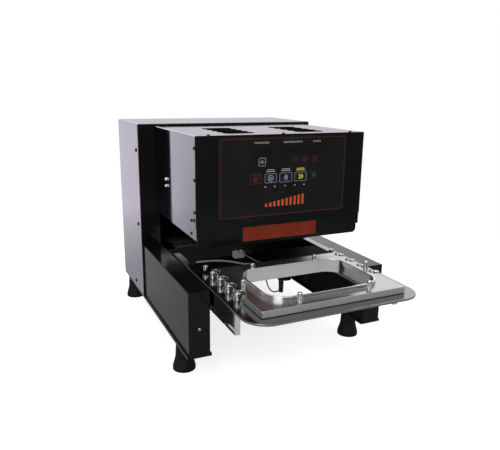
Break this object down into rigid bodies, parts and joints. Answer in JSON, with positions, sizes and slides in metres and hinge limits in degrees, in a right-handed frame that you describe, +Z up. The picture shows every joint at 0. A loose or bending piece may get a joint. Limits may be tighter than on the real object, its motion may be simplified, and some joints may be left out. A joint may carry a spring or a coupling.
{
  "type": "tray heat sealer",
  "caption": "Table-top heat sealer for food trays: a drawer with a tray die slides under a heated press head with a keypad, in front of a tall cabinet.",
  "frame": {"origin": "on the floor, at the middle of the machine's box with the drawer pulled out", "axes": "+Z up, +Y from the drawer's front towards the cabinet's rear, +X to the right seen from the front"},
  "size_m": [0.404, 0.651, 0.43],
  "materials": {
    "stainless": "satin",
    "black_paint": "gloss",
    "plate_steel": "polished",
    "die_steel": "brushed",
    "post_chrome": "polished",
    "screw_steel": "satin",
    "foot_rubber": "matte",
    "overlay_film": "satin",
    "key_red": "satin",
    "key_dark_red": "satin",
    "key_blue": "satin",
    "key_grey": "satin",
    "key_yellow": "satin",
    "display_lens": "gloss",
    "circuit_board": "matte",
    "platen_aluminium": "machined",
    "insulation": "matte",
    "bush_brass": "machined",
    "black_plastic": "matte",
    "sensor_plastic": "satin",
    "lead_rubber": "matte",
    "lead_sleeve": "matte",
    "film_web": "gloss"
  },
  "bodies": {
    "frame": {"base_plate_left": "black_paint", "base_plate_right": "black_paint", "board_standoffs": "bush_brass", "bridge_bolts": "post_chrome", "cabinet_floor": "black_paint", "cabinet_front_panel": "black_paint", "cabinet_rear_panel": "black_paint", "cabinet_shell": "stainless", "control_board": "circuit_board", "cover_screws": "screw_steel", "display_windows": "display_lens", "drawer_sensor": "sensor_plastic", "film_brackets": "black_paint", "film_shaft": "die_steel", "foot_front_left": "foot_rubber", "foot_front_right": "foot_rubber", "foot_rear_left": "foot_rubber", "foot_rear_right": "foot_rubber", "guide_bushes": "bush_brass", "guide_strip_left": "black_plastic", "guide_strip_right": "black_plastic", "head_cover": "stainless", "head_front_panel": "black_paint", "head_skirt": "black_paint", "keypad_overlay": "overlay_film", "lead_gland": "black_plastic", "power_inlet": "black_plastic", "power_supply": "platen_aluminium", "press_actuator": "platen_aluminium", "press_bridge": "black_paint", "rail_left": "black_paint", "rail_right": "black_paint", "sensor_bracket": "black_paint", "sensor_lead": "lead_rubber"},
    "drawer": {"drawer_plate": "plate_steel", "die_block": "die_steel", "tray_ring": "die_steel", "locating_posts": "post_chrome", "drawer_bolts": "post_chrome", "slide_bar_left": "plate_steel", "slide_bar_right": "plate_steel", "catch_block": "platen_aluminium", "catch_rod": "post_chrome", "die_lead": "lead_sleeve", "die_lead_fittings": "black_plastic"},
    "press": {"heat_platen": "platen_aluminium", "platen_insulation": "insulation", "platen_carrier": "die_steel", "guide_rods": "post_chrome", "press_ram": "post_chrome"},
    "film": {"film_roll": "film_web"},
    "key_automatic": {"key_automatic": "key_blue"},
    "key_counter": {"key_counter": "key_grey"},
    "key_double": {"key_double": "key_yellow"},
    "key_manual": {"key_manual": "key_grey"},
    "key_minus": {"key_minus": "key_dark_red"},
    "key_plus": {"key_plus": "key_dark_red"},
    "key_power": {"key_power": "key_red"},
    "key_set": {"key_set": "key_dark_red"},
    "key_start": {"key_start": "key_grey"}
  },
  "joints": [
    {"name": "drawer_slide", "type": "slide", "parent": "frame", "child": "drawer", "axis": [0, 1, 0], "range_m": [0, 0.1935]},
    {"name": "press_stroke", "type": "slide", "parent": "frame", "child": "press", "axis": [0, 0, -1], "range_m": [0, 0.043]},
    {"name": "film_spin", "type": "hinge", "parent": "frame", "child": "film", "pos_m": [0, 0.2335, 0.322], "axis": [1, 0, 0], "continuous": true},
    {"name": "key_automatic_travel", "type": "slide", "parent": "frame", "child": "key_automatic", "axis": [0, 1, 0], "range_m": [0, 0.0004], "stiffness_N_per_m": 2000},
    {"name": "key_counter_travel", "type": "slide", "parent": "frame", "child": "key_counter", "axis": [0, 1, 0], "range_m": [0, 0.0004], "stiffness_N_per_m": 2000},
    {"name": "key_double_travel", "type": "slide", "parent": "frame", "child": "key_double", "axis": [0, 1, 0], "range_m": [0, 0.0004], "stiffness_N_per_m": 2000},
    {"name": "key_manual_travel", "type": "slide", "parent": "frame", "child": "key_manual", "axis": [0, 1, 0], "range_m": [0, 0.0004], "stiffness_N_per_m": 2000},
    {"name": "key_minus_travel", "type": "slide", "parent": "frame", "child": "key_minus", "axis": [0, 1, 0], "range_m": [0, 0.0004], "stiffness_N_per_m": 2000},
    {"name": "key_plus_travel", "type": "slide", "parent": "frame", "child": "key_plus", "axis": [0, 1, 0], "range_m": [0, 0.0004], "stiffness_N_per_m": 2000},
    {"name": "key_power_travel", "type": "slide", "parent": "frame", "child": "key_power", "axis": [0, 1, 0], "range_m": [0, 0.0004], "stiffness_N_per_m": 2000},
    {"name": "key_set_travel", "type": "slide", "parent": "frame", "child": "key_set", "axis": [0, 1, 0], "range_m": [0, 0.0004], "stiffness_N_per_m": 2000},
    {"name": "key_start_travel", "type": "slide", "parent": "frame", "child": "key_start", "axis": [0, 1, 0], "range_m": [0, 0.0004], "stiffness_N_per_m": 2000}
  ]
}
